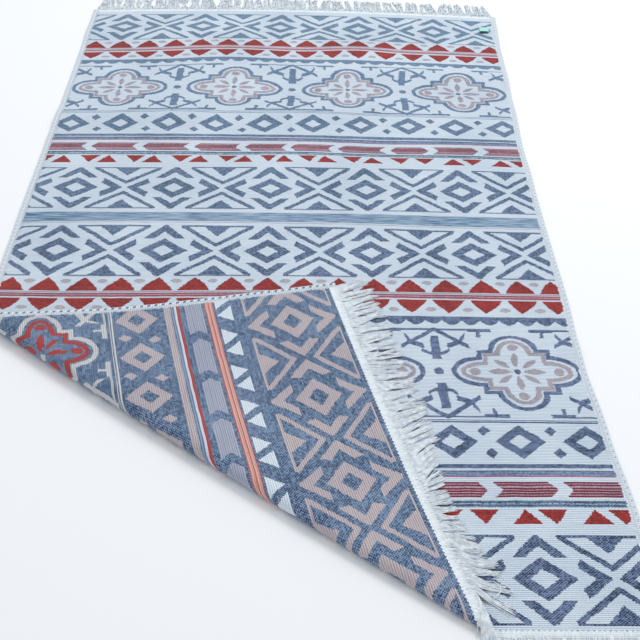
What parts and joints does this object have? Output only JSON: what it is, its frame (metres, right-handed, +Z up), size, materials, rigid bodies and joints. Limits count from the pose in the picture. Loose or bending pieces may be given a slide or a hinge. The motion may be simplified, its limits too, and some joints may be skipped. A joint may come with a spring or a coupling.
{
  "type": "kilim rug",
  "caption": "Flat-woven kilim rug with banded geometric motifs and fringed ends, lying on the floor with one corner folded over to show its reversed back.",
  "frame": {"origin": "centre of the rug's footprint, on the floor under it", "axes": "+X across the rug to its right selvedge, +Y along it to the far end, +Z up; the folded corner is at -X, -Y"},
  "size_m": [0.8178, 1.612, 0.023],
  "materials": {
    "woven_cotton": "matte flat weave, blue, red and beige on cool white, reversed on the back",
    "overcast_cotton": "matte white overcast cord with dark stitches",
    "fringe_cotton": "matte loose white cotton warp",
    "label_tape": "satin woven tape, bare"
  },
  "bodies": {
    "root": {"rug_cloth": "woven_cotton", "edging_left": "overcast_cotton", "edging_right": "overcast_cotton", "fringe_far": "fringe_cotton", "fringe_near": "fringe_cotton", "fringe_flap": "fringe_cotton", "label": "label_tape"}
  },
  "joints": []
}
